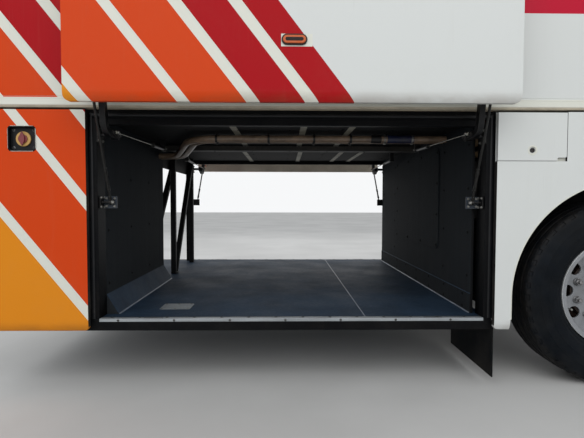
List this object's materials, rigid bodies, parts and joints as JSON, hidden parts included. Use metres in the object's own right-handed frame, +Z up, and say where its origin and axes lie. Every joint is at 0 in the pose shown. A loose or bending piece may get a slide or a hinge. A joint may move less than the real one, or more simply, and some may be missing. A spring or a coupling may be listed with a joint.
{
  "type": "coach luggage bay and front axle body section",
  "caption": "Body section of a touring coach: a through luggage bay with parallel-lift doors, side skins with a wheel arch, and a steered front axle with wheels.",
  "frame": {"origin": "centre of the four-bolt splice pattern on the section's rear end face, on the coach's centre plane, 925 mm above the road", "axes": "+X forward along the coach, +Y towards the side away from the picture, +Z up"},
  "size_m": [4.16, 3.2421, 2.6515],
  "materials": {
    "frame_black": "black chassis paint, dusty",
    "floor_board": "dark slate, scuffed non-slip sheet",
    "wall_board": "charcoal textured sheet",
    "galvanised": "dull galvanised",
    "deck_ply": "film-faced plywood",
    "body_paint": "white-grey gloss with slanting stripes",
    "rail_paint": "white-grey gloss",
    "seal_rubber": "matt black",
    "sill_aluminium": "worn bright",
    "liner_black": "matt black, dusty",
    "mud_rubber": "matt black",
    "bracket_black": "worn black",
    "gas_tube_black": "satin black",
    "rod_chrome": "polished",
    "switch_black": "matt black",
    "disc_yellow": "faded yellow",
    "knob_red": "satin red",
    "pipe_lagging": "dirty brown-grey hose",
    "coupling_blue": "blue silicone hose",
    "clamp_black": "black",
    "axle_cast": "black, rust spots",
    "bellows_rubber": "matt black",
    "damper_paint": "satin",
    "lamp_amber": "clear amber",
    "rim_silver": "silver paint, brake dust",
    "hub_iron": "grey, rusty nuts",
    "tyre_black": "worn black",
    "steel_rod": "bare"
  },
  "bodies": {
    "root": {"floor_frame": "frame_black", "deck_frame": "frame_black", "door_posts": "frame_black", "rear_end_frame": "frame_black", "front_frame": "frame_black", "rear_truss": "frame_black", "bay_floor": "floor_board", "rear_wall": "wall_board", "front_wall": "wall_board", "wall_access_panel": "wall_board", "ceiling_board": "wall_board", "ceiling_tube": "galvanised", "ceiling_straps": "galvanised", "deck_board": "deck_ply", "upper_wall_near": "body_paint", "upper_wall_far": "body_paint", "rub_rails": "rail_paint", "rear_skirt_near": "body_paint", "arch_panel_near": "body_paint", "arch_panel_far": "body_paint", "door_seals": "seal_rubber", "sill_trims": "sill_aluminium", "arch_liners": "liner_black", "mud_flaps": "mud_rubber", "door_brackets": "bracket_black", "gas_cylinders": "gas_tube_black", "switch_frame": "switch_black", "switch_disc": "disc_yellow", "switch_knob": "knob_red", "heater_pipes": "pipe_lagging", "pipe_coupling": "coupling_blue", "pipe_clamps": "clamp_black", "axle_beam": "axle_cast", "air_springs": "bellows_rubber", "dampers": "damper_paint", "radius_rods": "frame_black"},
    "arms_near": {"door_arms_near": "bracket_black"},
    "door_near": {"luggage_door_near": "body_paint", "marker_lamp_near": "lamp_amber"},
    "links_near": {"guide_links_near": "bracket_black"},
    "gas_rods_near": {"gas_rods_near": "rod_chrome"},
    "flap_near": {"service_flap_near": "body_paint"},
    "knuckle_near": {"steering_knuckle_near": "axle_cast"},
    "wheel_near": {"wheel_rim_near": "rim_silver", "hub_near": "hub_iron", "tyre_near": "tyre_black"},
    "arms_far": {"door_arms_far": "bracket_black"},
    "door_far": {"luggage_door_far": "body_paint", "marker_lamp_far": "lamp_amber"},
    "links_far": {"guide_links_far": "bracket_black"},
    "gas_rods_far": {"gas_rods_far": "rod_chrome"},
    "flap_far": {"service_flap_far": "body_paint"},
    "knuckle_far": {"steering_knuckle_far": "axle_cast"},
    "wheel_far": {"wheel_rim_far": "rim_silver", "hub_far": "hub_iron", "tyre_far": "tyre_black"},
    "tie_rod": {"tie_rod": "steel_rod"}
  },
  "joints": [
    {"name": "lift_near", "type": "hinge", "parent": "root", "child": "arms_near", "pos_m": [1.653, -1.195, 0.453], "axis": [-1, 0, 0], "range_deg": [-162, 0]},
    {"name": "door_level_near", "type": "hinge", "parent": "arms_near", "child": "door_near", "pos_m": [1.653, -1.40895, 1.01035], "axis": [-1, 0, 0], "range_deg": [-0.5, 162.5]},
    {"name": "link_swing_near", "type": "hinge", "parent": "root", "child": "links_near", "pos_m": [1.653, -1.18, 0.093], "axis": [-1, 0, 0], "range_deg": [-162.5, 0.5]},
    {"name": "gas_rod_near", "type": "slide", "parent": "root", "child": "gas_rods_near", "axis": [0, -0.9997, -0.0242], "range_m": [-0.121, 0.001]},
    {"name": "flap_near", "type": "hinge", "parent": "root", "child": "flap_near", "pos_m": [2.735, -1.268, 0.558], "axis": [-1, 0, 0], "range_deg": [0, 80]},
    {"name": "lift_far", "type": "hinge", "parent": "root", "child": "arms_far", "pos_m": [1.653, 1.195, 0.453], "axis": [1, 0, 0], "range_deg": [-142, 20]},
    {"name": "door_level_far", "type": "hinge", "parent": "arms_far", "child": "door_far", "pos_m": [1.653, 1.58667, 0.90356], "axis": [1, 0, 0], "range_deg": [-20.5, 142.5]},
    {"name": "link_swing_far", "type": "hinge", "parent": "root", "child": "links_far", "pos_m": [1.653, 1.18, 0.093], "axis": [1, 0, 0], "range_deg": [-142.5, 20.5]},
    {"name": "gas_rod_far", "type": "slide", "parent": "root", "child": "gas_rods_far", "axis": [0, 0.9997, -0.0242], "range_m": [-0.10619, 0.01581]},
    {"name": "flap_far", "type": "hinge", "parent": "root", "child": "flap_far", "pos_m": [2.735, 1.268, 0.558], "axis": [1, 0, 0], "range_deg": [0, 80]},
    {"name": "steer", "type": "hinge", "parent": "root", "child": "knuckle_near", "pos_m": [3.45, -0.975, -0.411], "axis": [0, 0, 1], "range_deg": [-40, 40]},
    {"name": "roll_near", "type": "hinge", "parent": "knuckle_near", "child": "wheel_near", "pos_m": [3.45, -1.078, -0.411], "axis": [0, 1, 0], "continuous": true},
    {"name": "steer_far", "type": "hinge", "parent": "root", "child": "knuckle_far", "pos_m": [3.45, 0.975, -0.411], "axis": [0, 0, 1], "range_deg": [-40.5, 40.5]},
    {"name": "roll_far", "type": "hinge", "parent": "knuckle_far", "child": "wheel_far", "pos_m": [3.45, 1.078, -0.411], "axis": [0, 1, 0], "continuous": true},
    {"name": "tie_rod_swing", "type": "hinge", "parent": "knuckle_near", "child": "tie_rod", "pos_m": [3.26, -0.975, -0.495], "axis": [0, 0, 1], "range_deg": [-40.5, 40.5]}
  ],
  "couplings": [
    {"joint": "door_level_near", "follows": "lift_near", "ratio": -1},
    {"joint": "link_swing_near", "follows": "lift_near", "ratio": 1},
    {"joint": "gas_rod_near", "follows": "lift_near", "m_per_rad": 0.042441},
    {"joint": "door_level_far", "follows": "lift_far", "ratio": -1},
    {"joint": "link_swing_far", "follows": "lift_far", "ratio": 1},
    {"joint": "gas_rod_far", "follows": "lift_far", "m_per_rad": 0.042441},
    {"joint": "steer_far", "follows": "steer", "ratio": 1},
    {"joint": "tie_rod_swing", "follows": "steer", "ratio": -1}
  ]
}
